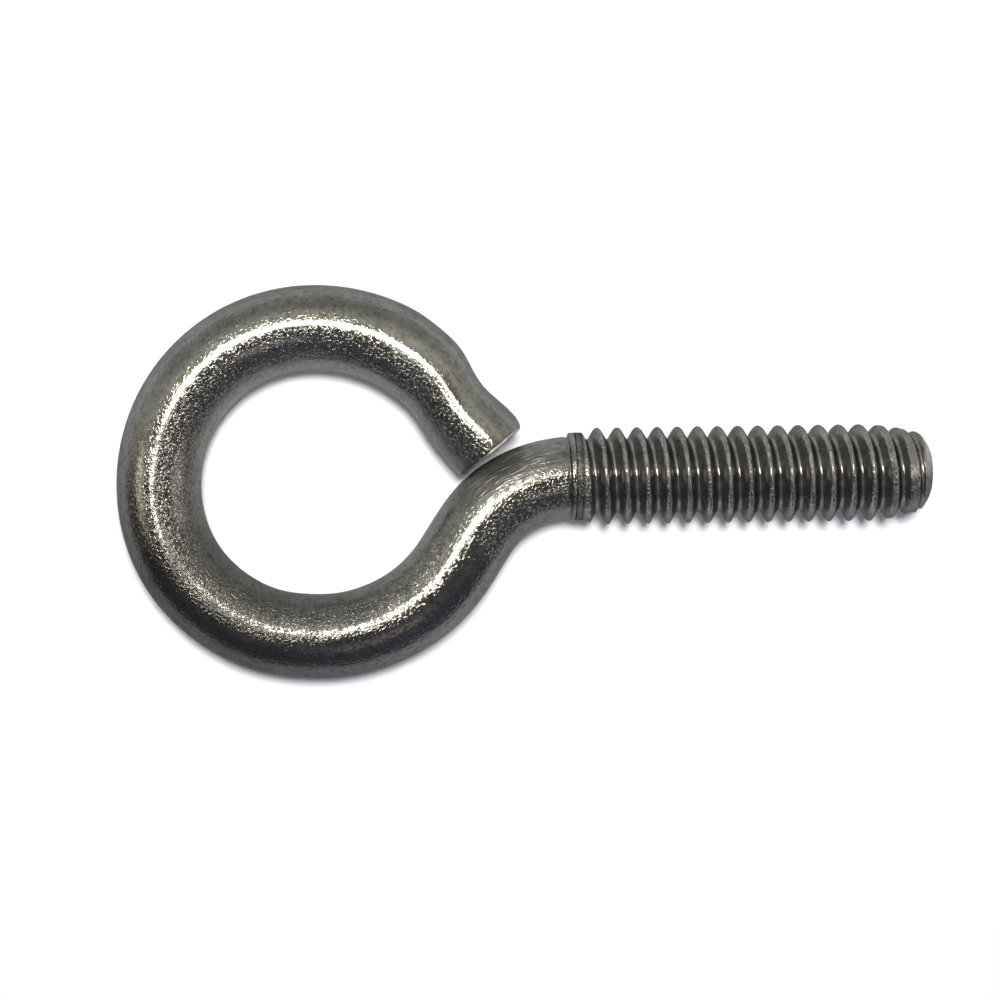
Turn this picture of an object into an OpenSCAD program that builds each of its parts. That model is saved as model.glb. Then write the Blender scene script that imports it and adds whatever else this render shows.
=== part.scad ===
// Lifting eye bolt, bent from one steel rod: a round eye that is closed against the
// neck but not welded, a swept neck, and a shank for a rolled right-hand thread.
// Millimetres. The origin is the eye's centre, the eye lies flat in XY, and X runs
// towards the tip of the shank.

/* [Rod] */
// Diameter of the plain rod that the whole bolt is made from
rod_d = 5.4; // [4.8:0.1:5.8]

/* [Eye] */
// Clear width of the eye across its round part
eye_inside_d = 14.2; // [12:0.1:18]
// Radius of the rod's middle line where the eye opens towards neck and free end
flank_r = 10.7; // [10.2:0.1:12.4]
// Where the round part ends on the side of the free end, from the shank's direction
round_to_end = 94; // [80:1:100]
// Where the round part ends on the side of the neck, from the shank's direction
round_to_neck = -86; // [-92:1:-66]

/* [Neck] */
// Slope of the neck against the shank
neck_slope = 56; // [50:1:60]
// Radius of the rod's middle line in the bend from neck to shank
neck_r = 7.5; // [6.5:0.1:8.6]

/* [Free end] */
// Slope of the straight free leg against the shank
leg_slope = 54.5; // [46:0.5:60]
// Gap between the middle of the sheared end and the neck
end_gap = 0.3; // [0.2:0.05:1]
// Angle by which the shear missed a square cut
shear_skew = 4; // [0:1:8]
// Width of the corner that the shear left rounded over, on the side of the eye
corner_w = 0.6; // [0.3:0.1:0.9]
// How far the blade dragged the outer corner of the end inwards
drag_depth = 0.4; // [0.1:0.1:0.6]
// Length over which the outer corner was dragged
drag_l = 1.2; // [0.8:0.1:1.6]
// Depth of the nick that the bending tool left in the outside of the leg
nick_depth = 0.7; // [0.3:0.05:0.9]
// Radius of that nick
nick_r = 5.5; // [3:0.5:7]
// Distance from the sheared end to the middle of the nick
nick_back = 4.1; // [3.8:0.1:5]

/* [Shank] */
// How far the shank's axis misses the eye's centre, towards the free end's side
shank_y = 0.2; // [0:0.1:1.2]
// Plain length of the shank between the bend and the thread
plain_length = 0.3; // [0.1:0.1:12]

/* [Thread] */
// Length of the thread, from its start to the tip
thread_length = 22.4; // [12:0.1:40]
// Diameter over the thread's crests
thread_d = 6.14; // [6:0.01:6.34]
// Distance from one crest to the next
pitch = 1.27; // [1:0.01:1.4]
// Depth of the thread
thread_depth = 0.74; // [0.55:0.01:0.78]

/* [Tip] */
// Length over which the thread draws in before the point
draw_in = 3; // [1:0.1:4]
// Length of the bevel at the point
bevel_l = 1; // [0.5:0.1:1.6]
// Share of the thread's depth that is gone where the bevel starts
drawn_share = 0.7; // [0.4:0.1:1]
// Diameter of the flat at the point
point_d = 2.7; // [1.6:0.1:3.6]

/* [Hidden] */

rod_r = rod_d / 2;
eye_r = eye_inside_d / 2 + rod_r;
steel = [0.42, 0.43, 0.41];

// Facets round the rod and round a full bend
rod_fn = 48;
bend_fn = 120;

// Every second stretch of the rod laps into its neighbours by this length, and is
// this much smaller in radius, so that no two stretches share a surface
lap = 0.1;
hair = 0.02;

function along(angle) = [cos(angle), sin(angle)];
function beside(angle) = [-sin(angle), cos(angle)];

// The middle line of the rod is a chain of circles and lines that touch each other.
// The eye's round part runs from round_to_end the long way to round_to_neck, and
// the flank on the neck's side carries on from there.
neck_flank_c = (eye_r - flank_r) * along(round_to_neck);
neck_flank_end = neck_flank_c + flank_r * along(neck_slope - 90);
// The bend to the shank rises by this much, and the straight of the neck does the rest
bend_rise = neck_r * (1 - cos(neck_slope));
neck_straight = (shank_y - bend_rise - neck_flank_end.y) / sin(neck_slope);
neck_straight_end = neck_flank_end + neck_straight * along(neck_slope);
neck_bend_c = neck_straight_end - neck_r * beside(neck_slope);

// Flank and straight leg on the side of the free end
leg_flank_c = (eye_r - flank_r) * along(round_to_end);
leg_dir = along(-leg_slope);
leg_outside = beside(-leg_slope);
leg_start = leg_flank_c + flank_r * leg_outside;
// The leg stops where the middle of its end stands end_gap clear of the neck's bend
leg_reach = neck_r + rod_r + end_gap;
leg_to_bend = neck_bend_c - leg_start;
leg_aside = leg_to_bend * leg_outside;
leg_length = leg_to_bend * leg_dir - sqrt(leg_reach * leg_reach - leg_aside * leg_aside);
leg_end = leg_start + leg_length * leg_dir;

// Radii and places along the shank's axis
crest_r = thread_d / 2;
bevel_r = crest_r - thread_depth * drawn_share;
thread_x = neck_bend_c.x + plain_length;
tip_x = thread_x + thread_length;
// Length over which the rolled thread rises out of the plain rod
run_in = 1.5 * pitch;

// A stretch of rod bent about centre, from one angle to the other. A lapped one
// reaches into both of its neighbours, and is a hair finer than they are.
module rod_bend(centre, bend_r, from_angle, to_angle, lapped = false) {
    extra = lapped ? lap / bend_r * 180 / PI : 0;
    translate([centre.x, centre.y, 0])
        rotate([0, 0, from_angle - extra])
            rotate_extrude(angle = to_angle - from_angle + 2 * extra, $fn = bend_fn)
                translate([bend_r, 0])
                    circle(r = rod_r - (lapped ? hair : 0), $fn = rod_fn);
}

// A straight stretch of rod
module rod_straight(from, heading, length)
    translate([from.x, from.y, 0])
        rotate([0, 90, heading])
            cylinder(r = rod_r, h = length, $fn = rod_fn);

// A block that starts at a plane through point and lies ahead of it
module ahead_of(point, heading, reach)
    translate([point.x, point.y, 0])
        rotate([0, 0, heading])
            translate([0, -reach, -reach])
                cube([2 * reach, 2 * reach, 2 * reach]);

// The free end: the flank and its straight leg, nicked on the outside, sheared off
// a little out of square, with one corner rounded over and the other dragged inwards
module free_end() {
    inner_corner = leg_end - rod_r * leg_outside;
    dragged_corner = leg_end + (rod_r - drag_depth) * leg_outside;
    nick_at = leg_end - nick_back * leg_dir + (rod_r - nick_depth + nick_r) * leg_outside;
    difference() {
        union() {
            rod_straight(leg_start, -leg_slope, leg_length + rod_r * tan(shear_skew));
            rod_bend(leg_flank_c, flank_r, 90 - leg_slope, round_to_end, lapped = true);
        }
        ahead_of(leg_end, -leg_slope + shear_skew, rod_d);
        ahead_of(inner_corner - corner_w * leg_dir, -leg_slope - 45, rod_d);
        ahead_of(dragged_corner, -leg_slope + atan2(drag_l, drag_depth), rod_d);
        translate([nick_at.x, nick_at.y, -rod_d])
            cylinder(r = nick_r, h = 2 * rod_d, $fn = bend_fn);
    }
}

module round_part()
    rod_bend([0, 0], eye_r, round_to_end, round_to_neck + 360);

// The neck leaves the eye by its flank, climbs straight and bends into the shank
module neck() {
    rod_bend(neck_flank_c, flank_r, round_to_neck, neck_slope - 90, lapped = true);
    rod_straight(neck_flank_end, neck_slope, neck_straight);
    rod_bend(neck_bend_c, neck_r, 90, 90 + neck_slope, lapped = true);
}

// The shank swells from the plain rod to the thread's crests, and draws in to the
// point. The thread is fine, so it is drawn as the cylinder over its crests.
module shank()
    translate([0, shank_y, 0])
        rotate([0, 90, 0])
            rotate_extrude($fn = bend_fn)
                polygon([
                    [0, neck_bend_c.x],
                    [rod_r, neck_bend_c.x],
                    [rod_r, thread_x],
                    [crest_r, thread_x + run_in],
                    [crest_r, tip_x - bevel_l - draw_in],
                    [bevel_r, tip_x - bevel_l],
                    [point_d / 2, tip_x],
                    [0, tip_x],
                ]);

module eye_bolt()
    color(steel) {
        free_end();
        round_part();
        neck();
        shank();
    }

eye_bolt();
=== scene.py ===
# %% [markdown]
# # A bent eye bolt in dark steel
#
# The real bolt is one steel rod. A bending tool wraps it into an eye, closes the eye
# against the neck without a weld, and two dies roll the thread into the shank.
# The script builds it the same way: it walks the rod's middle line, wraps a skin of
# rings round that line, and lets the skin turn into a true helical thread at the
# shank. All of it is one closed mesh.
#
# Sizes are written in millimetres, and become metres where a mesh is made.

import math

import bpy
import numpy as np
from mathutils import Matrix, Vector, noise


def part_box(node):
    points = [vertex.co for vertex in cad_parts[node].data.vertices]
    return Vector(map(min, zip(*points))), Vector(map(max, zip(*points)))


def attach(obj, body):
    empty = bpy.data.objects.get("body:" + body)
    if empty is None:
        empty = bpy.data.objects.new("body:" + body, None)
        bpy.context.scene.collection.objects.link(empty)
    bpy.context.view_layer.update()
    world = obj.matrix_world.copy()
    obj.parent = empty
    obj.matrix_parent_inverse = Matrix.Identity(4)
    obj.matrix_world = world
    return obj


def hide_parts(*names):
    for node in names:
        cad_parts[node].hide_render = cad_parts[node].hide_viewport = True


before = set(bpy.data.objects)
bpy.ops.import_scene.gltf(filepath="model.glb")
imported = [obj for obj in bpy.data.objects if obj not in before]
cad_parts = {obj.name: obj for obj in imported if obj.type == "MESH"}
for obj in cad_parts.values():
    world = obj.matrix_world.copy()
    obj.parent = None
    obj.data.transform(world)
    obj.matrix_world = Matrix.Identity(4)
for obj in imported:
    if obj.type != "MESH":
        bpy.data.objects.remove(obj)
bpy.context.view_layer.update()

MM = 0.001
scene = bpy.context.scene
bolt_low, bolt_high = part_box("eye_bolt")
print("the bolt measures", [round(v / MM, 2) for v in bolt_high - bolt_low], "mm")

# %% [markdown]
# ## The camera
#
# The photo looks straight down on the bolt, from only about 11 cm, so near things
# look larger than far ones: the thread's crests lean out to the right. Where a
# camera looks straight down, the outline gives its place: the eye's centre and the
# shank fix scale and turn, and the lean of the crests fixes the height.
# The point right below the lens isn't the middle of the picture, so the lens is
# shifted a little instead of the camera being tilted, which would bend the eye.

# %% Place the camera
PICTURE_PX = 1000
FOCAL_PX = 1771.9
BELOW_LENS_PX = (430, 490)
CAMERA_AT = Vector((7.32, -0.54, 112.0))
SHANK_RISE = math.radians(0.77)
SENSOR = 36.0
NEAREST = 1
FARTHEST = 20000

lens = bpy.data.cameras.new("top_view")
lens.sensor_fit = "HORIZONTAL"
lens.sensor_width = SENSOR
lens.lens = SENSOR * FOCAL_PX / PICTURE_PX
lens.shift_x = 0.5 - BELOW_LENS_PX[0] / PICTURE_PX
lens.shift_y = BELOW_LENS_PX[1] / PICTURE_PX - 0.5
lens.clip_start = NEAREST * MM
lens.clip_end = FARTHEST * MM

camera = bpy.data.objects.new("top_view", lens)
camera.location = CAMERA_AT * MM
camera.rotation_euler = (0, 0, -SHANK_RISE)
scene.collection.objects.link(camera)
scene.camera = camera
print("focal length", round(lens.lens, 2), "mm, height", CAMERA_AT.z, "mm")

# %% [markdown]
# ## The rod's middle line
#
# A rod that was bent cold keeps its length, so its middle line is a row of straight
# and curved stretches. The easiest way to write such a line down is to walk it:
# go this far, turn by that much. The walk starts at the sheared end, goes round the
# eye against the clock, climbs the neck and ends at the thread. It is anchored at
# the thread, where the bolt's frame is known best, and laid out backwards from there.
#
# A bend in steel never starts all at once, so the curvature is smoothed a little.
# Four gentle leans then move the line off its circles, as the real bend wanders.

# %% Stretches of the rod
SHANK_Y = 0.2
THREAD_X = 16.37
EYE_R = 9.8
FLANK_R = 10.7
NECK_R = 7.5


def straight(length):
    """A stretch of rod without a bend: its length and its curvature."""
    return length, 0.0


def bend(radius, degrees):
    """A bent stretch: its length and its curvature, positive to the left."""
    return radius * math.radians(abs(degrees)), math.copysign(1 / radius, degrees)


# free leg, flank, round part of the eye, flank, neck, and the bend into the shank
WALK = [
    straight(4.3),
    bend(FLANK_R, 58.5),
    bend(EYE_R, 180),
    bend(FLANK_R, 52),
    straight(2.4),
    bend(NECK_R, -56),
]
print("stretches:", [round(length, 2) for length, _ in WALK], "mm")

# %% Walk the middle line
WALK_STEP = 0.02
EASE = 1.2

# distance from the sheared end, lean towards the inside, reach along
LEANS = [
    (2.9, 0.40, 2.3),
    (35.0, -0.09, 4.0),
    (44.8, 0.09, 2.2),
    (53.5, -0.12, 4.0),
]


def middle_line():
    """Distances from the sheared end, places and headings along the rod's middle line."""
    ends = np.cumsum([length for length, _ in WALK])
    along = np.arange(0, ends[-1], WALK_STEP)
    curve = np.array([k for _, k in WALK])[np.searchsorted(ends, along, side="right")]
    window = int(EASE / WALK_STEP)
    padded = np.pad(curve, window, mode="edge")
    curve = np.convolve(padded, np.ones(window) / window, "same")[window:-window]
    heading = -np.cumsum(curve[::-1])[::-1] * WALK_STEP
    steps = WALK_STEP * np.stack([np.cos(heading), np.sin(heading)], axis=1)
    place = np.array([THREAD_X, SHANK_Y]) - np.cumsum(steps[::-1], axis=0)[::-1]
    left = np.stack([-np.sin(heading), np.cos(heading)], axis=1)
    for where, lean, reach in LEANS:
        place = place + lean * np.exp(-(((along - where) / reach) ** 2))[:, None] * left
    return along, place, heading


walk_along, walk_place, walk_heading = middle_line()
ROD_LENGTH = walk_along[-1]
print("rod before the thread:", round(ROD_LENGTH, 2), "mm, free end at", walk_place[0])

# %% [markdown]
# ## The rod's skin
#
# A ring of points is set round the middle line at every third of a millimetre.
# The angle round the ring is counted from the side that faces into the eye, which
# on the shank is the side towards the free end, and goes up towards the camera.
#
# The rod isn't a perfect tube any more. The press squeezed the free leg, flattened
# its top and left a nick outside it. Each of these is a dent with a place along the
# rod, a side, a depth and a reach, so the list below can be read as a report of the
# damage. Just before the thread the dies pressed a fine line, and behind it a step
# leads up to the land, which is a little thicker than the rod.

# %% Damage on the rod
INSIDE, OUTSIDE, UP_AND_IN = 0, 180, 48

# distance from the sheared end, side in degrees, depth, reach along, reach round
DENTS = [
    (4.5, OUTSIDE, 0.42, 1.7, 50),
    (2.2, INSIDE, 0.20, 3.5, 70),
    (0.5, UP_AND_IN, 0.34, 4.5, 36),
    (3.9, INSIDE, 0.10, 2.2, 60),
    (7.4, OUTSIDE, 0.10, 1.2, 50),
    (2.1, OUTSIDE, -0.03, 0.9, 45),
    (64.2, INSIDE, 0.11, 3.0, 70),
]


def side_gap(angle, side):
    """How far an angle lies from a side of the rod, in degrees, at most 180."""
    return np.abs((np.degrees(angle) - side + 180) % 360 - 180)


print("dents:", len(DENTS), "and the deepest is", max(dent[2] for dent in DENTS), "mm")

# %% Shape the rod
AROUND = 128
ring_angle = np.arange(AROUND) / AROUND * 2 * math.pi
EYE_ROD_R = 2.66
NECK_ROD_R = 2.63
# distances before the thread between which the rod thins to the neck's radius
NECK_THINS = (12, 3)
# the step up to the land: radius behind it, distance before the thread, length
SHOULDER_R = 2.77
STEP_BACK = 0.27
STEP_LENGTH = 0.09
# the line at the foot of the step
LINE_DEPTH = 0.06
LINE_WIDTH = 0.06


def smooth(x, low, high):
    """0 below low, 1 above high, and an S in between."""
    t = np.clip((x - low) / (high - low), 0, 1)
    return t * t * (3 - 2 * t)


def rod_radius(along, angle):
    """Radius of the rod's skin at a distance from the sheared end and an angle round it."""
    on_neck = smooth(along, ROD_LENGTH - NECK_THINS[0], ROD_LENGTH - NECK_THINS[1])
    radius = EYE_ROD_R + (NECK_ROD_R - EYE_ROD_R) * on_neck
    for place, side, depth, reach, spread in DENTS:
        far = ((along - place) / reach) ** 2 + (side_gap(angle, side) / spread) ** 2
        radius = radius - depth * np.exp(-far)
    to_step = along - ROD_LENGTH + STEP_BACK
    radius = radius - LINE_DEPTH * np.exp(-(((to_step + LINE_WIDTH) / LINE_WIDTH) ** 2))
    return radius + (SHOULDER_R - radius) * smooth(to_step, 0, STEP_LENGTH)


print("thinnest rod:", round(float(rod_radius(walk_along[:, None], ring_angle).min()), 2))

# %% [markdown]
# The closing blow pressed a flat on the neck. A flat isn't a dent: it cuts the round
# straight across. So the radius is limited by a plane that faces the free end, and
# the plane backs away towards both ends of the flat.

# %% Flatten the neck under the free end
FLAT_DEPTH = 0.16
FLAT_SIDE = 14
FLAT_REACH = 2.3
# the plane limits the skin only where the skin faces it, by the cosine between them
FACES_FLAT = 0.3
NO_LIMIT = 99.0
on_neck = walk_along > ROD_LENGTH - NECK_THINS[0]
flat_at = walk_along[on_neck][
    np.argmin(np.linalg.norm(walk_place[on_neck] - walk_place[0], axis=1))
]


def flattened(radius, along, angle):
    """The radius, held back by the flat on the neck."""
    back = FLAT_DEPTH * ((along - flat_at) / FLAT_REACH) ** 2
    plane = NECK_ROD_R - FLAT_DEPTH + back
    facing = np.cos(np.radians(side_gap(angle, FLAT_SIDE)))
    limit = np.where(facing > FACES_FLAT, plane / np.maximum(facing, FACES_FLAT), NO_LIMIT)
    return np.minimum(radius, limit)


print("the neck is flattened", round(ROD_LENGTH - flat_at, 2), "mm before the thread")

# %% [markdown]
# ## The sheared end
#
# The rod was cut to length in a shear. The blade misses a square cut by a few
# degrees, drags one corner round and leaves the face a little dished and torn.
# A boolean cut would be quicker, but it would leave a sharp rim and a flat face. So
# the rings near the end lean over by the angle that the blade missed, then shrink
# towards the middle of the face, and the face belongs to the same skin.
#
# The free leg has also sprung up a little, out of the flat of the eye. That can't be
# seen from above, but the light that runs along its top shows it.

# %% Corners of the sheared end
RIM = 0.12
RIM_LOST = 0.06
# side of the rod, how far round it reaches, how far along, and how much is lost
CORNERS_LOST = [
    (INSIDE, 55, 0.55, 0.55),
    (OUTSIDE, 60, 1.25, 0.42),
]


def rounding(along, reach):
    """A quarter circle: 1 at the sheared end, 0 at the reach."""
    left = np.clip(1 - along / reach, 0, 1)
    return 1 - np.sqrt(1 - left**2)


def corner_loss(along, angle):
    """How much the radius shrinks near the sheared end, most at the dragged corners."""
    loss = RIM_LOST * rounding(along, RIM)
    for side, spread, reach, lost in CORNERS_LOST:
        near = np.exp(-((side_gap(angle, side) / spread) ** 2))
        loss = np.maximum(loss, lost * near * rounding(along, reach))
    return loss


print("lost at the corners:", round(float(corner_loss(0.0, ring_angle).max()), 2), "mm")

# %% Rings of the rod
SHEAR_SKEW = math.radians(4)
SKEW_REACH = 3.0
END_RISE = 0.36
RISE_REACH = 9.5
RISE_CURVE = 1.3


def leg_rise(along):
    """How far the free leg has sprung up out of the flat of the eye."""
    return END_RISE * max(0.0, 1 - along / RISE_REACH) ** RISE_CURVE


def ring_points(place, heading, shift, radius, angle, rise):
    """Points of one ring: shift is how far the ring leans forward at the inside."""
    ahead = np.array([math.cos(heading), math.sin(heading), 0])
    left = np.array([-math.sin(heading), math.cos(heading), 0])
    up = np.array([0, 0, 1.0])
    centre = np.array([place[0], place[1], rise])
    lean = shift * radius * np.cos(angle)
    return (
        centre
        + lean[:, None] * ahead
        + (radius * np.cos(angle))[:, None] * left
        + (radius * np.sin(angle))[:, None] * up
    )


def rod_ring(along):
    """One ring of the rod's skin, at a distance from the sheared end."""
    place = [np.interp(along, walk_along, walk_place[:, axis]) for axis in (0, 1)]
    heading = np.interp(along, walk_along, walk_heading)
    radius = flattened(rod_radius(along, ring_angle), along, ring_angle)
    radius = radius - corner_loss(along, ring_angle)
    shift = -math.tan(SHEAR_SKEW) * (1 - smooth(along, 0, SKEW_REACH))
    return ring_points(place, heading, shift, radius, ring_angle, leg_rise(along))


print("the free leg ends", leg_rise(0.0), "mm above the flat of the eye")

# %% Rings of the sheared face
FACE_RINGS = [0.06, 0.3, 0.5, 0.7, 0.85, 0.95]
DISH = 0.10
TORN = 0.05
TORN_PER_MM = 1.7


def face_ring(share):
    """One ring of the sheared face, at a share of the rim's size."""
    rim = rod_ring(0.0)
    middle = rim.mean(axis=0)
    ahead = np.array([math.cos(walk_heading[0]), math.sin(walk_heading[0]), 0])
    points = middle + (rim - middle) * share
    dish = DISH * (1 - share**2)
    torn = np.array([noise.noise(Vector(p * TORN_PER_MM)) for p in points]) * TORN
    return points + ((dish + torn) * (1 - share**6))[:, None] * ahead


rod_rings = [face_ring(share) for share in FACE_RINGS]
print("sheared face:", len(rod_rings), "rings")

# %% All rings, from the sheared end to the thread
# close rings over the rim, even ones along the rod, close ones over the step
RIM_RINGS = [0.0, 0.02, 0.05, 0.09, 0.14, 0.2, 0.28, 0.38, 0.5, 0.64, 0.8]
EVEN_FROM, EVEN_TO, RING_STEP = 1.0, 0.7, 0.34
CLOSE_FROM, CLOSE_STEP = 0.6, 0.05
ring_places = np.concatenate([
    RIM_RINGS,
    np.arange(EVEN_FROM, ROD_LENGTH - EVEN_TO, RING_STEP),
    np.arange(ROD_LENGTH - CLOSE_FROM, ROD_LENGTH, CLOSE_STEP),
])
rod_rings += [rod_ring(along) for along in ring_places]
ring_along = np.concatenate([np.zeros(len(FACE_RINGS)), ring_places])
rod_skin = np.array(rod_rings)
print("rod skin:", rod_skin.shape[0], "rings of", AROUND, "points")

# %% [markdown]
# ## The rolled thread
#
# The thread is 1/4 inch with 20 threads to the inch: 1.27 mm from crest to crest.
# Rolling dies press a groove that winds round the shank, and the steel that they
# push aside becomes the crests.
#
# A screw modifier could turn a profile, but its end would not join the rod. Here the
# rod's rings give way to 128 lengthwise columns. Each column has its points exactly
# on the corners of the profile, a little further on than its neighbour's, so that the
# edges of the thread run as clean helices. The surface itself is one function of the
# place along the shank and the angle round it.

# %% Profile of the thread
PITCH = 1.27
CREST_R = 3.06
THREAD_DEPTH = 0.73
FIRST_VALLEY = 17.25
TIP_X = 38.85
# turns after the first valley where the groove starts, and until its full depth
GROOVE_STARTS = -0.45
GROOVE_RAMP = 0.4
# places between which the land rises to the crests
CREST_RISE = (16.95, 17.75)

# distance from the middle of the groove in pitches, and share of the full depth
PROFILE_PLACE = [0.0, 0.05, 0.10, 0.15, 0.21, 0.29, 0.37, 0.43, 0.47, 0.5]
PROFILE_DEPTH = [1.0, 0.985, 0.935, 0.83, 0.64, 0.38, 0.15, 0.04, 0.008, 0.0]

# envelope of the tip: place along the shank and largest radius there
TIP_PLACE = [35.0, 35.5, 36.6, 37.5, 38.0, 38.3, 38.55, 38.72, 38.81, 38.85]
TIP_R = [3.06, 3.0, 2.88, 2.62, 2.55, 2.34, 2.0, 1.72, 1.5, 1.4]


def envelope(x):
    """Largest radius of the shank at a place along it."""
    rise = smooth(x, *CREST_RISE)
    tip = np.interp(x, TIP_PLACE, TIP_R)
    return np.minimum(SHOULDER_R + (CREST_R - SHOULDER_R) * rise, tip)


def thread_radius(x, angle):
    """Radius of the thread's surface at a place along the shank and an angle round it."""
    turn = (x - FIRST_VALLEY) / PITCH - angle / (2 * math.pi)
    valley = np.round(turn)
    pressed = np.interp(np.abs(turn - valley), PROFILE_PLACE, PROFILE_DEPTH)
    groove = CREST_R - THREAD_DEPTH * pressed
    wound = valley + angle / (2 * math.pi)
    started = smooth(wound, GROOVE_STARTS, GROOVE_STARTS + GROOVE_RAMP)
    most = envelope(x)
    return most + started * (np.minimum(most, groove) - most)


print("thread depth", THREAD_DEPTH, "mm, from x", FIRST_VALLEY, "to", TIP_X, "mm")

# %% [markdown]
# Each column lists its points by number: the number counts the profile's corners from
# the first groove on. Two neighbours hold almost the same numbers, and where one has
# a point more at its start or end, a triangle closes the gap.
#
# The blank was cut a little out of square, so the end of the shank leans back towards
# its top.

# %% Columns of the thread
CORNERS = sorted(
    {round(p, 4) for p in PROFILE_PLACE[:-1]} | {round(1 - p, 4) for p in PROFILE_PLACE[1:]}
)
END_MARGIN = 0.02
SPARE_TURNS = 3
TIP_LEAN = 0.08
LEAN_REACH = 1.5


def column_points(angle):
    """Corner numbers and places along the shank of one column, ends left out."""
    count = len(CORNERS)
    last_turn = int((TIP_X - FIRST_VALLEY) / PITCH)
    turns = np.arange(-SPARE_TURNS, last_turn + SPARE_TURNS)
    numbers = (turns[:, None] * count + np.arange(count)).ravel()
    places = (turns[:, None] + np.array(CORNERS)).ravel() + angle / (2 * math.pi)
    places = FIRST_VALLEY + PITCH * places
    inside = (places > THREAD_X + END_MARGIN) & (places < TIP_X - END_MARGIN)
    return numbers[inside], places[inside]


def shank_point(x, radius, angle):
    """A point of the shank's skin."""
    height = radius * math.sin(angle)
    lean = TIP_LEAN * height * float(smooth(x, TIP_X - LEAN_REACH, TIP_X))
    return [x - lean, SHANK_Y + radius * math.cos(angle), height]


columns = [column_points(angle) for angle in ring_angle]
print("thread:", sum(len(numbers) for numbers, _ in columns), "points")

# %% [markdown]
# ## One closed mesh
#
# The rings and the columns share the ring where the thread starts, and the columns
# end in a last ring that closes over the tip. Every point also remembers where it
# was on the straight rod, and how near it is to a crest. The finishes use that place,
# so grain and drawing marks follow the rod round the bends, as they do on the real
# one.

# %% Collect points and faces
points = []
unbent = []
crest_share = []
faces = []
face_finish = []
ROD_FINISH, THREAD_FINISH, CUT_FINISH = 0, 1, 2


def add_point(place, along, radius, angle, crest=0.0):
    """Adds a point of the skin, its place on the straight rod, and its share of a crest."""
    points.append(place)
    crest_share.append(crest)
    unbent.append((radius * math.cos(angle), radius * math.sin(angle), along))
    return len(points) - 1


def add_face(corners, finish):
    """Adds a face, unless two of its corners are one point."""
    corners = list(dict.fromkeys(corners))
    if len(corners) > 2:
        faces.append(corners)
        face_finish.append(finish)


def join_rings(first, second, finish):
    """Joins two rings with four-sided faces."""
    for k in range(AROUND):
        n = (k + 1) % AROUND
        add_face([first[k], first[n], second[n], second[k]], finish)


print("finish of the rod", ROD_FINISH, "of the thread", THREAD_FINISH, "of a cut", CUT_FINISH)

# %% Skin of the rod
# rings of the rim that the blade left as bare as the face
BARE_RIM_RINGS = 4


def add_ring(ring, along):
    """Adds a whole ring and gives the numbers of its points."""
    middle = ring.mean(axis=0)
    sizes = np.linalg.norm(ring - middle, axis=1)
    return [add_point(p, along, r, a) for p, r, a in zip(ring, sizes, ring_angle)]


ring_numbers = [add_ring(ring, along) for ring, along in zip(rod_skin, ring_along)]
face_middle = add_point(rod_skin[0].mean(axis=0), 0.0, 0.0, 0.0)
for k in range(AROUND):
    add_face([face_middle, ring_numbers[0][(k + 1) % AROUND], ring_numbers[0][k]], CUT_FINISH)
for i in range(len(ring_numbers) - 1):
    finish = CUT_FINISH if i < len(FACE_RINGS) + BARE_RIM_RINGS else ROD_FINISH
    join_rings(ring_numbers[i], ring_numbers[i + 1], finish)
print("rod:", len(points), "points,", len(faces), "faces")

# %% Points of the thread
shank_along = ROD_LENGTH - THREAD_X
# depth under the envelope at which a flank is no crest any more
CREST_LIP = 0.14


def column_numbers(angle, numbers, places):
    """Adds the points of one column and gives {corner number: point number}."""
    radii = thread_radius(places, angle)
    crests = 1 - np.clip((envelope(places) - radii) / CREST_LIP, 0, 1)
    made = {}
    for number, x, radius, crest in zip(numbers, places, radii, crests):
        place = shank_point(x, radius, angle)
        made[number] = add_point(place, shank_along + x, radius, angle, float(crest))
    return made


def shank_ring(x, radius, along, crest=0.0):
    """Adds a ring of the shank and gives the numbers of its points."""
    return [add_point(shank_point(x, radius, a), along, radius, a, crest) for a in ring_angle]


start_ring = shank_ring(THREAD_X, SHOULDER_R, shank_along + THREAD_X)
column_made = [column_numbers(a, *column) for a, column in zip(ring_angle, columns)]
tip_r = float(envelope(TIP_X))
tip_along = shank_along + TIP_X
tip_ring = shank_ring(TIP_X, tip_r, tip_along, 1.0)
print("with the thread:", len(points), "points")

# %% Join the thread to the rod
join_rings(ring_numbers[-1], start_ring, ROD_FINISH)


def close_end(mine_end, theirs_end, mine_run, theirs_run, flip):
    """Fills the strip between two columns' ends and their first shared corner."""
    mine_run = [mine_end] + mine_run
    theirs_run = [theirs_end] + theirs_run
    i = j = 0
    while i < len(mine_run) - 1 or j < len(theirs_run) - 1:
        step_mine = j == len(theirs_run) - 1 or (
            i < len(mine_run) - 1 and len(mine_run) - i > len(theirs_run) - j
        )
        if step_mine:
            corners = [mine_run[i], theirs_run[j], mine_run[i + 1]]
            i += 1
        else:
            corners = [mine_run[i], theirs_run[j], theirs_run[j + 1]]
            j += 1
        add_face(corners[::-1] if flip else corners, THREAD_FINISH)


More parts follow.
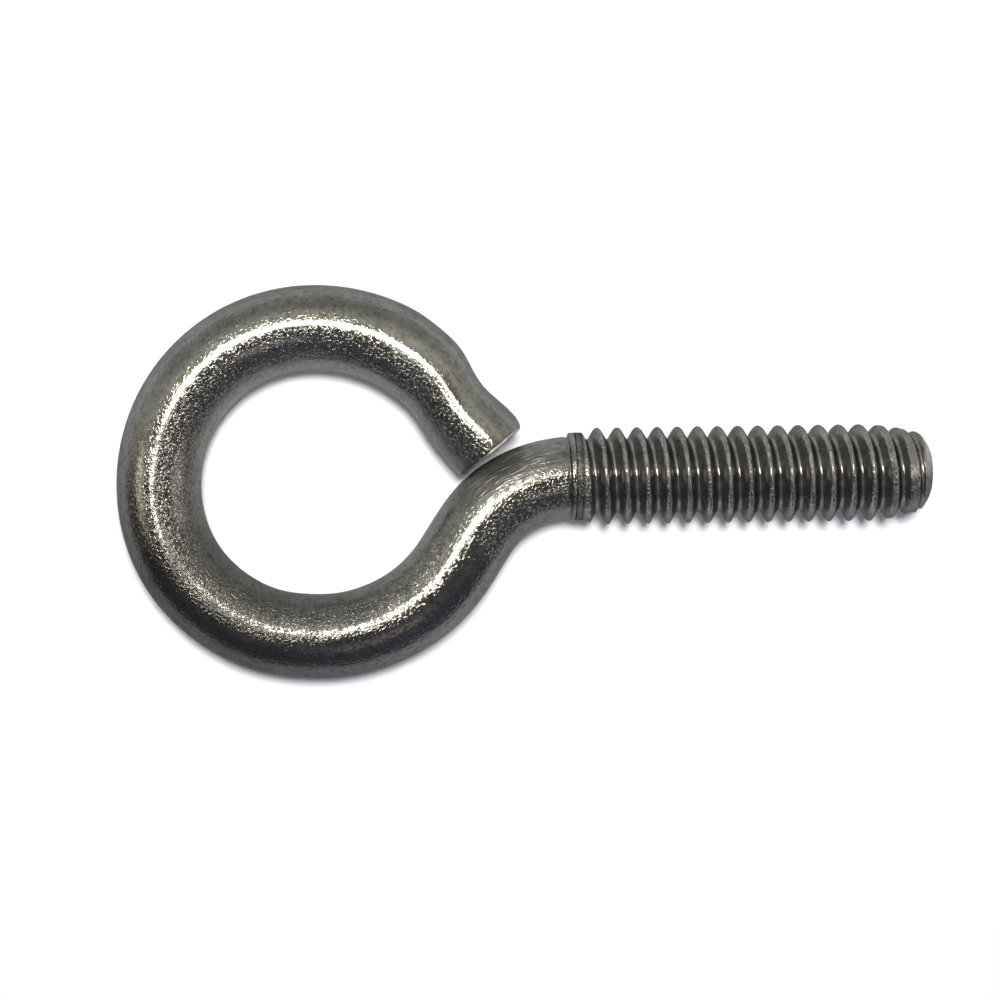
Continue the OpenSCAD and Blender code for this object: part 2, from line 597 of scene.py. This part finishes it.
def join_columns(k):
    """Joins column k to the next one, matching the corner numbers."""
    n = (k + 1) % AROUND
    mine = column_made[k]
    wrap = len(CORNERS) if n == 0 else 0
    theirs = {number - wrap: point for number, point in column_made[n].items()}
    both = sorted(set(mine) & set(theirs))
    first, last = both[0], both[-1]
    for number in both[:-1]:
        nearer = [mine[number], theirs[number]]
        add_face(nearer + [theirs[number + 1], mine[number + 1]], THREAD_FINISH)
    early_mine = [mine[q] for q in sorted(mine) if q <= first]
    early_theirs = [theirs[q] for q in sorted(theirs) if q <= first]
    close_end(start_ring[k], start_ring[n], early_mine, early_theirs, False)
    late_mine = [mine[q] for q in sorted(mine, reverse=True) if q >= last]
    late_theirs = [theirs[q] for q in sorted(theirs, reverse=True) if q >= last]
    close_end(tip_ring[k], tip_ring[n], late_mine, late_theirs, True)


for k in range(AROUND):
    join_columns(k)
print("with the thread:", len(faces), "faces")

# %% [markdown]
# ## The tip
#
# The blank was cut with a bevel before the rolling, and the dies pushed its outer
# steel forward over the cut, so the flat of the tip is a little hollow. One flat face
# would look turned on a lathe. Rings that shrink towards the axis and sink in by a
# seventh of a millimetre draw the hollow.

# %% Close the tip
TIP_SHARES = [0.93, 0.8, 0.62, 0.4, 0.18]
TIP_HOLLOW = 0.14
# share of the tip's radius over which the hollow sinks in
HOLLOW_WALL = 0.5
outer = tip_ring
for share in TIP_SHARES:
    sink = TIP_HOLLOW * smooth(1 - share, 0, HOLLOW_WALL)
    inner = shank_ring(TIP_X - sink, tip_r * share, tip_along)
    join_rings(outer, inner, CUT_FINISH)
    outer = inner
tip_middle = add_point(shank_point(TIP_X - TIP_HOLLOW, 0, 0), tip_along, 0.0, 0.0)
for k in range(AROUND):
    add_face([tip_middle, outer[k], outer[(k + 1) % AROUND]], CUT_FINISH)
print("closed:", len(points), "points,", len(faces), "faces")

# %% Make the mesh
SHARP_DEGREES = 50
places = np.array(points)
mesh = bpy.data.meshes.new("bolt")
mesh.from_pydata((places * MM).tolist(), [], faces)
mesh.polygons.foreach_set("material_index", face_finish)
mesh.polygons.foreach_set("use_smooth", [True] * len(faces))
straight_place = mesh.attributes.new("straight_place", "FLOAT_VECTOR", "POINT")
straight_place.data.foreach_set("vector", np.array(unbent, np.float32).ravel())
crest_value = mesh.attributes.new("crest", "FLOAT", "POINT")
crest_value.data.foreach_set("value", np.array(crest_share, np.float32))
mesh.validate()
mesh.set_sharp_from_angle(angle=math.radians(SHARP_DEGREES))
bolt = bpy.data.objects.new("bolt", mesh)
scene.collection.objects.link(bolt)
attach(bolt, "root")
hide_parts("eye_bolt")
triangles = sum(len(f) - 2 for f in faces)
print("mesh:", len(mesh.vertices), "points,", triangles, "triangles")

# %% [markdown]
# ## Finishes
#
# The bolt has one steel and three finishes of it. The rod has the dark skin of drawn
# steel, full of fine pits that glitter near a highlight. The thread was rolled: its
# flanks are smooth, its crests are rough, and a thin dull film lies on it. The
# sheared faces are pale, bare and torn.
#
# All of them share the same pits and the same wear, so these two are node groups,
# placed in each material with its own numbers. Both read the place on the straight
# rod: X is the distance from the axis towards the inside of the eye, Y the height,
# and Z the distance from the sheared end. A few small helpers keep the node trees
# short.

# %% Nodes, wires and groups


def node(tree, kind, **values):
    """A new node in the tree, with its settings and the values of its inputs."""
    made = tree.nodes.new(kind)
    for name, value in values.items():
        if name in made.inputs:
            made.inputs[name].default_value = value
        else:
            setattr(made, name, value)
    return made


def wire(tree, start, end):
    """Connects an output to an input."""
    tree.links.new(start, end)


def new_group(name, inputs, outputs):
    """A node group with number inputs and the given outputs."""
    tree = bpy.data.node_groups.new(name, "ShaderNodeTree")
    for label, value in inputs.items():
        socket = tree.interface.new_socket(label, in_out="INPUT", socket_type="NodeSocketFloat")
        socket.default_value = value
    for label, kind in outputs.items():
        tree.interface.new_socket(label, in_out="OUTPUT", socket_type=kind)
    return tree, tree.nodes.new("NodeGroupInput"), tree.nodes.new("NodeGroupOutput")


print("helpers for nodes ready")

# %% Numbers in a node tree


def reckon(tree, operation, first, second):
    """Two numbers joined by an operation; the second may be a plain value."""
    made = node(tree, "ShaderNodeMath", operation=operation)
    wire(tree, first, made.inputs[0])
    if isinstance(second, float):
        made.inputs[1].default_value = second
    else:
        wire(tree, second, made.inputs[1])
    return made.outputs[0]


def add_up(tree, first, *others):
    """The sum of some numbers."""
    for other in others:
        first = reckon(tree, "ADD", first, other)
    return first


def multiply(tree, first, second):
    """The product of two numbers."""
    return reckon(tree, "MULTIPLY", first, second)


def larger(tree, first, second):
    """The larger of two numbers."""
    return reckon(tree, "MAXIMUM", first, second)


def map_range(tree, source, start, end=(0, 1)):
    """Maps a number from one range to another, clamped."""
    made = node(tree, "ShaderNodeMapRange")
    made.inputs["From Min"].default_value = start[0]
    made.inputs["From Max"].default_value = start[1]
    made.inputs["To Min"].default_value = end[0]
    made.inputs["To Max"].default_value = end[1]
    wire(tree, source, made.inputs["Value"])
    return made.outputs["Result"]


print("helpers for numbers ready")

# %% Colours and places in a node tree


def grey(value):
    """A neutral colour."""
    return value, value, value


def ramp(tree, source, stops):
    """A colour ramp with stops of (place, colour), fed by a number."""
    made = tree.nodes.new("ShaderNodeValToRGB")
    elements = made.color_ramp.elements
    while len(elements) < len(stops):
        elements.new(0.5)
    for element, (place, colour) in zip(elements, stops):
        element.position = place
        element.color = (*colour, 1)
    wire(tree, source, made.inputs["Fac"])
    return made.outputs["Color"]


def tinted(tree, colour, tint):
    """A colour multiplied by another."""
    made = node(tree, "ShaderNodeMix", data_type="RGBA", blend_type="MULTIPLY")
    made.inputs["Factor"].default_value = 1.0
    wire(tree, colour, made.inputs["A"])
    wire(tree, tint, made.inputs["B"])
    return made.outputs["Result"]


def place_on_rod(tree):
    """The place on the straight rod, whole and as its three numbers."""
    place = node(tree, "ShaderNodeAttribute", attribute_name="straight_place")
    numbers = node(tree, "ShaderNodeSeparateXYZ")
    wire(tree, place.outputs["Vector"], numbers.inputs[0])
    return place.outputs["Vector"], numbers.outputs


def scaled(tree, vector, scales):
    """A vector with each of its numbers multiplied by its own scale."""
    made = node(tree, "ShaderNodeVectorMath", operation="MULTIPLY")
    wire(tree, vector, made.inputs[0])
    made.inputs[1].default_value = scales
    return made.outputs["Vector"]


def cloudy(tree, where, **values):
    """A noise read at a place, with the values of its inputs."""
    made = node(tree, "ShaderNodeTexNoise", **values)
    wire(tree, where, made.inputs["Vector"])
    return made


print("helpers for colours and places ready")

# %% [markdown]
# ### Pits of the steel skin
#
# Seen close, the skin is flat steel with a crust of crumbs a fifth of a millimetre
# wide. The side of a crumb leans far enough to flash where the skin itself is dark.
# A noise cut off at its lower half gives that relief: a flat with crumbs on it.
#
# The bending moved the crust. Where a bend pressed the steel together the crumbs
# stand at full height, and where it stretched the steel they are lower, lowest of
# all outside the free leg. On the far side of the eye the crust is denser and reaches
# over the top. Crumbs could be modelled one by one, but they are too fine for the
# mesh, so a noise makes them and the bump of each material shows them.

# %% Noise of the pits
# the ramps along the rod count in shares of this distance
RAMP_SPAN = (0, 100)
CRUMB_FROM = (0.5, 0.68)
# share along the rod, and how far the crumbs reach over to the other side
CRUMBS_OVER = [(0.24, grey(0)), (0.3, grey(0.8)), (0.42, grey(0.8)), (0.46, grey(0))]
DENSER = 0.11
pits, pits_in, pits_out = new_group(
    "steel_pits", {"Grain per mm": 5.0, "Stretch": 1.0}, {"Height": "NodeSocketFloat"}
)
_, pit_place = place_on_rod(pits)
join = node(pits, "ShaderNodeCombineXYZ")
wire(pits, pit_place["X"], join.inputs["X"])
wire(pits, pit_place["Y"], join.inputs["Y"])
wire(pits, multiply(pits, pit_place["Z"], pits_in.outputs["Stretch"]), join.inputs["Z"])
grains = cloudy(pits, join.outputs[0], Detail=1.5, Roughness=0.6)
wire(pits, pits_in.outputs["Grain per mm"], grains.inputs["Scale"])
crumbs_over = ramp(pits, map_range(pits, pit_place["Z"], RAMP_SPAN), CRUMBS_OVER)
denser = multiply(pits, crumbs_over, DENSER)
crumbs = map_range(pits, add_up(pits, grains.outputs["Fac"], denser), CRUMB_FROM)
print("pits:", len(pits.nodes), "nodes so far")

# %% Where the pits are
# distance along the rod where the inside of the bend changes sides
NECK_TURNS = (ROD_LENGTH - 10.5, ROD_LENGTH - 7.0)
# place across the rod, from the stretched to the pressed side
PRESSED_SIDE = (-0.05, 0.5)
# distance along the rod over which the free leg ends, and the share of the crumbs on
# the stretched side before and after it
FREE_LEG = (7.0, 14.0)
STRETCHED = (0.14, 0.38)
THREAD_BEGINS = (ROD_LENGTH - 0.1, ROD_LENGTH)
inner_sign = map_range(pits, pit_place["Z"], NECK_TURNS, (1, -1))
inner_side = multiply(pits, pit_place["X"], inner_sign)
pressed = map_range(pits, add_up(pits, inner_side, crumbs_over), PRESSED_SIDE)
stretched = map_range(pits, pit_place["Z"], FREE_LEG, STRETCHED)
on_thread = map_range(pits, pit_place["Z"], THREAD_BEGINS)
share_here = larger(pits, larger(pits, pressed, stretched), on_thread)
wire(pits, multiply(pits, crumbs, share_here), pits_out.inputs["Height"])
print("pits:", len(pits.nodes), "nodes")

# %% [markdown]
# ### Wear
#
# Three places are worn. The dies left the crests of the thread rough. They also
# marked the land before the first groove, with two fine lines, a rough band and a
# tone that changes from line to line. And the closing blow scuffed the neck under
# the free end, with scratches along the rod.
#
# The land and the scuff are read from the place on the straight rod: the land is what
# follows the step where the dies began, and the scuff is what lies near one point of
# the neck. A crest can't be read from the radius, because the thread draws in at the
# tip. So each point of the mesh has stored how near it is to a crest.

# %% Crests and land
LAND = (ROD_LENGTH, ROD_LENGTH + 1.2)
# share of the land's length, and the height of its skin, its roughness and its tone
LAND_LINES = [
    (0.04, grey(1)),
    (0.08, grey(0)),
    (0.12, grey(1)),
    (0.22, grey(1)),
    (0.25, grey(0.3)),
    (0.28, grey(1)),
]
ROUGH_BAND = [(0.45, grey(0)), (0.5, grey(1)), (0.78, grey(1)), (0.84, grey(0))]
LAND_TONE = [
    (0.01, grey(1)),
    (0.03, grey(0.2)),
    (0.08, grey(0.2)),
    (0.12, grey(0.7)),
    (0.34, grey(0.55)),
    (0.38, grey(0.25)),
    (0.44, grey(0.6)),
    (0.5, grey(1)),
]
wear, wear_in, wear_out = new_group(
    "wear",
    {"Scratches per mm": 7.0},
    {
        "Crest": "NodeSocketFloat",
        "Scuff": "NodeSocketFloat",
        "Scratch": "NodeSocketFloat",
        "Lines": "NodeSocketFloat",
        "Tone": "NodeSocketColor",
    },
)
worn_where, worn_place = place_on_rod(wear)
crest = node(wear, "ShaderNodeAttribute", attribute_name="crest").outputs["Fac"]
on_land = map_range(wear, worn_place["Z"], LAND)
wire(wear, ramp(wear, on_land, LAND_LINES), wear_out.inputs["Lines"])
wire(wear, ramp(wear, on_land, LAND_TONE), wear_out.inputs["Tone"])
wire(wear, add_up(wear, crest, ramp(wear, on_land, ROUGH_BAND)), wear_out.inputs["Crest"])
print("wear:", len(wear.nodes), "nodes so far")

# %% Scuff and scratches
SCUFF_AT = (2.0, 1.7, flat_at + 0.4)
# the scuff is longer along the rod than across it, and its edge is ragged
SCUFF_SHAPE = (1, 1, 0.55)
SCUFF_REACH = (2.2, 1.3)
MIDDLE_OF_NOISE = (0.3, 0.7)
RAGGED = (-0.5, 0.5)
# a noise drawn out along the rod, and the part of it that is scored
SCRATCH_SHAPE = (1, 1, 0.1)
SCORED = (0.52, 0.66)

from_scuff = node(wear, "ShaderNodeVectorMath", operation="SUBTRACT")
from_scuff.inputs[1].default_value = SCUFF_AT
wire(wear, worn_where, from_scuff.inputs[0])
how_far = node(wear, "ShaderNodeVectorMath", operation="LENGTH")
wire(wear, scaled(wear, from_scuff.outputs["Vector"], SCUFF_SHAPE), how_far.inputs[0])
ragged = cloudy(wear, worn_where, Scale=1.6, Detail=3.0).outputs["Fac"]
ragged_edge = map_range(wear, ragged, MIDDLE_OF_NOISE, RAGGED)
ragged_far = add_up(wear, how_far.outputs["Value"], ragged_edge)
wire(wear, map_range(wear, ragged_far, SCUFF_REACH), wear_out.inputs["Scuff"])

scratches = cloudy(wear, scaled(wear, worn_where, SCRATCH_SHAPE), Detail=1.0)
wire(wear, wear_in.outputs["Scratches per mm"], scratches.inputs["Scale"])
wire(wear, map_range(wear, scratches.outputs["Fac"], SCORED), wear_out.inputs["Scratch"])
print("wear:", len(wear.nodes), "nodes")

# %% [markdown]
# ### Colour of the steel
#
# The skin wanders between a darker and a lighter warm grey, because it isn't equally
# thick everywhere, and fine dark specks lie in it. On the far side of the eye the
# colour is darker: painted shade. The inner side of the rod is lighter: painted light.
# The side of the tip's bevel that faces the free end is lighter too: a painted
# reflection.
#
# All of this could be painted on. Here each is a factor on the colour, read from the
# place on the straight rod, so one value moves it.

# %% Factors on the colour
CLOUD = {"Scale": 0.55, "Detail": 5.0, "Roughness": 0.62}
SPECK_NOISE = {"Scale": 3.2, "Detail": 3.0, "Roughness": 0.65}
SPECKS = [(0.36, grey(0.66)), (0.5, grey(0.94)), (0.62, grey(1))]
# place across the rod over which the inner side is lightened by painted light
PAINTED_LIGHT_INSIDE = (1.5, 2.4)
# where the bevel of the tip starts, and where across the shank it is lightened by painted light
BEVEL_AT = (ROD_LENGTH + 21.75, ROD_LENGTH + 21.95)
PAINTED_BEVEL_SIDE = (-0.5, 0.7)
PAINTED_BEVEL_LIGHT = 2.3


def painted_bevel_side(tree, place):
    """1 on the side of the tip's bevel that is lightened by painted light and dulled, 0
    elsewhere.
    """
    on_bevel = map_range(tree, place["Z"], BEVEL_AT)
    return multiply(tree, on_bevel, map_range(tree, place["X"], PAINTED_BEVEL_SIDE))


def steel_colour(tree, where, place, tone, far, shade, land_tone, inner_light, bevel_light_mask):
    """The tone of the skin with all its factors, painted shade and painted light among them."""
    specks = cloudy(tree, where, **SPECK_NOISE).outputs["Fac"]
    # the shade ramp darkens the far side of the eye: painted shade
    for factor in (ramp(tree, far, shade), land_tone, ramp(tree, specks, SPECKS)):
        tone = tinted(tree, tone, factor)
    # painted light: the side of the rod towards the eye is lightened
    inner_lit = map_range(tree, place["X"], PAINTED_LIGHT_INSIDE, (1, inner_light))
    # painted light: one side of the tip's bevel is lightened
    bright = multiply(tree, inner_lit, map_range(tree, bevel_light_mask, (0, 1), (1, PAINTED_BEVEL_LIGHT)))
    brightened = node(tree, "ShaderNodeVectorMath", operation="SCALE")
    wire(tree, tone, brightened.inputs[0])
    wire(tree, bright, brightened.inputs["Scale"])
    return brightened.outputs[0]


print("the bevel is bare from", round(BEVEL_AT[0] - shank_along, 2), "mm along the shank")

# %% [markdown]
# ### Gloss and relief of the steel
#
# The steel is glossy where it was drawn or rolled. It is duller on the far side of
# the eye, where the crust is dense, in the scuff, on the painted-light side of the
# bevel, and low on the sides of the rod, which nothing ever rubbed. Each of these adds
# to the roughness.
#
# The relief is the height of the crumbs, of the scratches in the scuff and of the
# lines on the land. It is too fine for the mesh, so one bump node takes it. Off the
# crests of the thread only a share of the crumbs is left.

# %% Roughness and normal
SCUFF_DULL = 0.25
BEVEL_SIDE_DULL = 0.2
# height on the rod below which the skin gets duller, and by how much
LOW_SIDE = (1.3, 2.35)
LOW_DULL = 0.28


def steel_gloss(tree, place, cloud, rough, far, dull, scuff, bevel_light_mask):
    """The roughness of the skin with all that dulls it."""
    return add_up(
        tree,
        map_range(tree, cloud, MIDDLE_OF_NOISE, rough),
        ramp(tree, far, dull),
        multiply(tree, scuff, SCUFF_DULL),
        multiply(tree, bevel_light_mask, BEVEL_SIDE_DULL),
        map_range(tree, place["Y"], LOW_SIDE, (LOW_DULL, 0)),
    )


def steel_normal(tree, crumbs, worn, off_crest, relief):
    """The normal of the skin with its crumbs, scratches and lines."""
    how_rough = map_range(tree, worn["Crest"], (0, 1), (off_crest, 1))
    crumbs_here = multiply(tree, crumbs, how_rough)
    scratch = multiply(tree, worn["Scratch"], worn["Scuff"])
    bump = node(tree, "ShaderNodeBump", Strength=1.0, Distance=relief * MM)
    wire(tree, add_up(tree, crumbs_here, scratch, worn["Lines"]), bump.inputs["Height"])
    return bump.outputs["Normal"]


print("duller by", SCUFF_DULL, "in the scuff and by", LOW_DULL, "low on the rod")

# %% [markdown]
# ### The materials
#
# One function makes a finish from its values, and three sets of values make the
# three finishes. They differ in tone, in gloss and in how coarse their crumbs are,
# and the film on the thread takes a little of its metal away.

# %% A steel material


def steel_finish(
    name, dark, light, edge, rough, grain, stretch, relief, off_crest, dull, shade, inner_light, bare
):
    """A steel material: two tones, the tone of its edge, roughness low and high, pits
    with their relief in mm and the share of it off the crests, dulling and painted shade
    along the rod, how much painted light lifts the side towards the eye, and how bare
    the metal is of its dull film."""
    made = bpy.data.materials.new(name)
    made.use_nodes = True
    tree = made.node_tree
    tree.nodes.clear()
    out = node(tree, "ShaderNodeOutputMaterial")
    shader = node(tree, "ShaderNodeBsdfPrincipled", Metallic=bare)
    shader.inputs["Specular Tint"].default_value = (*edge, 1)
    wire(tree, shader.outputs[0], out.inputs["Surface"])
    skin = node(tree, "ShaderNodeGroup", node_tree=pits)
    skin.inputs["Grain per mm"].default_value = grain
    skin.inputs["Stretch"].default_value = stretch
    worn = node(tree, "ShaderNodeGroup", node_tree=wear).outputs
    where, place = place_on_rod(tree)
    far = map_range(tree, place["Z"], RAMP_SPAN)
    # painted light on one side of the tip's bevel, which is also duller
    bevel_light_mask = painted_bevel_side(tree, place)
    cloud = cloudy(tree, where, **CLOUD).outputs["Fac"]
    tone = ramp(tree, cloud, list(zip(MIDDLE_OF_NOISE, (dark, light))))
    colour = steel_colour(tree, where, place, tone, far, shade, worn["Tone"], inner_light, bevel_light_mask)
    wire(tree, colour, shader.inputs["Base Color"])
    gloss = steel_gloss(tree, place, cloud, rough, far, dull, worn["Scuff"], bevel_light_mask)
    wire(tree, gloss, shader.inputs["Roughness"])
    normal = steel_normal(tree, skin.outputs["Height"], worn, off_crest, relief)
    wire(tree, normal, shader.inputs["Normal"])
    return made


print("shared in each finish:", len(pits.nodes) + len(wear.nodes), "nodes")

# %% The three finishes
# share along the rod, and how much rougher the skin is there
DULL_ROD = [
    (0.30, grey(0)),
    (0.34, grey(0.03)),
    (0.40, grey(0.08)),
    (0.46, grey(0.06)),
    (0.50, grey(0)),
]
# share along the rod, and how much of the tone is left there by painted shade
PAINTED_SHADE_ROD = [
    (0.26, grey(1)),
    (0.31, grey(0.82)),
    (0.355, grey(0.54)),
    (0.42, grey(0.6)),
    (0.47, grey(0.68)),
    (0.53, grey(0.95)),
]
NO_DULL = [(0.0, grey(0)), (1.0, grey(0))]
NO_SHADE = [(0.0, grey(1)), (1.0, grey(1))]
FINISHES = {
    "drawn_steel": {
        "dark": (0.17, 0.167, 0.157),
        "light": (0.235, 0.232, 0.214),
        "edge": (0.45, 0.47, 0.51),
        "rough": (0.09, 0.14),
        "grain": 6.2,
        "stretch": 0.8,
        "relief": 0.023,
        "off_crest": 1.0,
        "dull": DULL_ROD,
        # painted shade on the far side of the eye
        "shade": PAINTED_SHADE_ROD,
        # painted light on the side of the rod towards the eye
        "inner_light": 1.3,
        "bare": 1.0,
    },
    "rolled_steel": {
        "dark": (0.202, 0.199, 0.186),
        "light": (0.27, 0.266, 0.25),
        "edge": (0.22, 0.23, 0.25),
        "rough": (0.12, 0.16),
        "grain": 7.0,
        "stretch": 1.0,
        "relief": 0.025,
        "off_crest": 0.06,
        "dull": NO_DULL,
        "shade": NO_SHADE,
        "inner_light": 1.0,
        "bare": 0.92,
    },
    "sheared_steel": {
        "dark": (0.42, 0.41, 0.41),
        "light": (0.6, 0.59, 0.59),
        "edge": (0.6, 0.6, 0.6),
        "rough": (0.35, 0.5),
        "grain": 4.0,
        "stretch": 0.3,
        "relief": 0.02,
        "off_crest": 1.0,
        "dull": NO_DULL,
        "shade": NO_SHADE,
        "inner_light": 1.0,
        "bare": 1.0,
    },
}
for name, values in FINISHES.items():
    mesh.materials.append(steel_finish(name, **values))
print("finishes:", [m.name for m in mesh.materials])

# %% [markdown]
# ## The floor
#
# The bolt lies on white. Its thread is thicker than its rod, so it rests on the
# first crests and on the far side of the eye, and the floor, seen from the bolt, is
# tilted by 0.8 degrees. The floor's height at both is read from the mesh. A white
# world alone would be simpler, but the bolt would float in it without a shadow.
#
# The white is paper that nothing shines in. Its material adds a small glow for the
# camera and for what the steel mirrors, so it comes out white without more light on
# the bolt.

# %% Lay the floor under the bolt
FLOOR_SIZE = 12000
FLOOR_MIDDLE_X = 12.0
eye_side = places[:, 0] < -EYE_R + 1
eye_foot = places[eye_side][np.argmin(places[eye_side][:, 2])]
shank_low = places[places[:, 0] > THREAD_X]
slopes = (shank_low[:, 2] - eye_foot[2]) / (shank_low[:, 0] - eye_foot[0])
floor_slope = float(slopes.min())

floor_mesh = bpy.data.meshes.new("floor")
half = FLOOR_SIZE / 2 * MM
floor_mesh.from_pydata(
    [(-half, -half, 0), (half, -half, 0), (half, half, 0), (-half, half, 0)], [], [(0, 1, 2, 3)]
)
floor = bpy.data.objects.new("floor", floor_mesh)
foot = Vector(eye_foot)
middle_z = foot.z + floor_slope * (FLOOR_MIDDLE_X - foot.x)
floor.location = Vector((FLOOR_MIDDLE_X, 0.0, middle_z)) * MM
floor.rotation_euler = (0, -math.atan(floor_slope), 0)
scene.collection.objects.link(floor)
print("floor slope", round(math.degrees(math.atan(floor_slope)), 2), "degrees")

# %% White paper
PAPER = (0.93, 0.93, 0.93, 1)
PAPER_ROUGH = 0.9
GLOW = (0.96, 0.96, 1, 1)
WHITE_LIFT = 0.08

paper = bpy.data.materials.new("white_paper")
paper.use_nodes = True
paper_shader = paper.node_tree.nodes["Principled BSDF"]
paper_shader.inputs["Base Color"].default_value = PAPER
paper_shader.inputs["Roughness"].default_value = PAPER_ROUGH
paper_shader.inputs["Specular IOR Level"].default_value = 0.0
paper_shader.inputs["Emission Color"].default_value = GLOW
ray = node(paper.node_tree, "ShaderNodeLightPath").outputs
seen = add_up(
    paper.node_tree, ray["Is Camera Ray"], ray["Is Glossy Ray"], ray["Is Transmission Ray"]
)
glow = multiply(paper.node_tree, seen, WHITE_LIFT)
wire(paper.node_tree, glow, paper_shader.inputs["Emission Strength"])
floor_mesh.materials.append(paper)
print("the paper is lifted by", WHITE_LIFT)

# %% [markdown]
# ## The light
#
# Steel shows its surroundings more than its own colour. In the photo a pale room lies
# towards the free end's side and a dark one on the other side, and less light comes
# from low down than from above. A plain gradient of the world's colour, times a
# second one by height, is that room. White paper would take its tint from it, so
# light that isn't mirrored comes from an even sky instead.

# %% The room
# where the steel looks, from 0 at the dark side to 1 at the pale side, and half the
# light that comes from there
ROOM = [
    (0.0, (0.15, 0.174, 0.215)),
    (0.05, (0.126, 0.146, 0.181)),
    (0.11, (0.104, 0.118, 0.148)),
    (0.18, (0.102, 0.108, 0.132)),
    (0.265, (0.116, 0.111, 0.122)),
    (0.37, (0.112, 0.106, 0.108)),
    (0.5, (0.13, 0.122, 0.115)),
    (0.585, (0.24, 0.23, 0.2)),
    (0.66, (0.58, 0.57, 0.51)),
    (0.73, (0.68, 0.67, 0.6)),
    (0.79, (0.58, 0.58, 0.52)),
    (0.85, (0.47, 0.47, 0.43)),
    (0.91, (0.43, 0.43, 0.41)),
    (1.0, (0.46, 0.46, 0.44)),
]
PALE_SIDE = (-0.12, 0.99, 0.0)
# height of the direction over the floor, and the share of the light that is left
LOW_LIGHT = [(0.0, grey(0.85)), (0.4, grey(0.66)), (0.6, grey(0.78)), (0.8, grey(1))]
ROOM_STRENGTH = 2.0
EVEN_SKY = (0.1, 0.102, 0.135, 1)

room = bpy.data.worlds.new("room")
scene.world = room
room.use_nodes = True
room.cycles.sampling_method = "NONE"
room_tree = room.node_tree
room_tree.nodes.clear()
direction = node(room_tree, "ShaderNodeTexCoord").outputs["Generated"]
toward = node(room_tree, "ShaderNodeVectorMath", operation="DOT_PRODUCT")
toward.inputs[1].default_value = PALE_SIDE
wire(room_tree, direction, toward.inputs[0])
height = node(room_tree, "ShaderNodeSeparateXYZ")
wire(room_tree, direction, height.inputs[0])
side_light = ramp(room_tree, map_range(room_tree, toward.outputs["Value"], (-1, 1)), ROOM)
height_light = ramp(room_tree, height.outputs["Z"], LOW_LIGHT)
room_light = node(room_tree, "ShaderNodeBackground", Strength=ROOM_STRENGTH)
wire(room_tree, tinted(room_tree, side_light, height_light), room_light.inputs["Color"])
even_light = node(room_tree, "ShaderNodeBackground", Strength=1.0, Color=EVEN_SKY)
room_ray = node(room_tree, "ShaderNodeLightPath").outputs
choice = node(room_tree, "ShaderNodeMixShader")
wire(room_tree, room_ray["Is Diffuse Ray"], choice.inputs["Fac"])
wire(room_tree, room_light.outputs[0], choice.inputs[1])
wire(room_tree, even_light.outputs[0], choice.inputs[2])
room_out = node(room_tree, "ShaderNodeOutputWorld")
wire(room_tree, choice.outputs[0], room_out.inputs["Surface"])
print("room:", len(ROOM), "stops")

# %% [markdown]
# ### The lamps
#
# The photo has a window high over the pale side, which draws the bright line along
# the rod, a smaller pane to the left of it, and soft light from afar on both ends and
# in front. Only the steel mirrors these five. The paper gets its light, and the bolt
# its soft shadow, from another lamp that the steel doesn't mirror. So the line and
# the shadow can each be set to the photo without moving the other.

# %% Far lamps
# direction as slopes towards +X and +Y, strength, width in degrees, colour
FAR_LAMPS = {
    "low_left": ((-1.05, 0.0), 0.2, 18, (1.0, 0.96, 0.78)),
    "pink_right": ((1.6, 0.05), 0.56, 34, (1.0, 0.9, 0.86)),
    "pink_front": ((0.15, -0.68), 0.05, 20, (1.0, 0.85, 0.9)),
}


def hang(name, kind, energy, colour):
    """A lamp of the given kind, hung in the scene."""
    lamp = bpy.data.lights.new(name, kind)
    lamp.energy = energy
    lamp.color = colour
    holder = bpy.data.objects.new(name, lamp)
    scene.collection.objects.link(holder)
    return lamp, holder


for name, (slope, strength, width, colour) in FAR_LAMPS.items():
    lamp, holder = hang(name, "SUN", strength, colour)
    lamp.angle = math.radians(width)
    holder.rotation_euler = Vector((*slope, 1)).to_track_quat("Z", "Y").to_euler()
    holder.visible_diffuse = False
print("far lamps:", len(FAR_LAMPS))

# %% Near lamps
CREAM = (1.0, 0.98, 0.88)
# place and size in mm, power, colour, and whether the steel mirrors it
NEAR_LAMPS = {
    "window": ((-21, 36.5, 200), (82, 44), 0.23, CREAM, True),
    "side_pane": ((-50, 2, 200), (38, 28), 0.06, CREAM, True),
    "floor_lamp": ((14, 32, 200), (44, 44), 0.47, (1.0, 0.985, 0.98), False),
}
for name, (place, size, power, colour, in_steel) in NEAR_LAMPS.items():
    lamp, holder = hang(name, "AREA", power, colour)
    lamp.shape = "ELLIPSE"
    lamp.size = size[0] * MM
    lamp.size_y = size[1] * MM
    holder.location = Vector(place) * MM
    holder.visible_camera = False
    holder.visible_glossy = in_steel
    holder.visible_diffuse = not in_steel
print("near lamps:", len(NEAR_LAMPS))

# %% [markdown]
# ## The end
#
# The colours are shown as they are written.

# %% Finish
scene.view_settings.view_transform = "Standard"
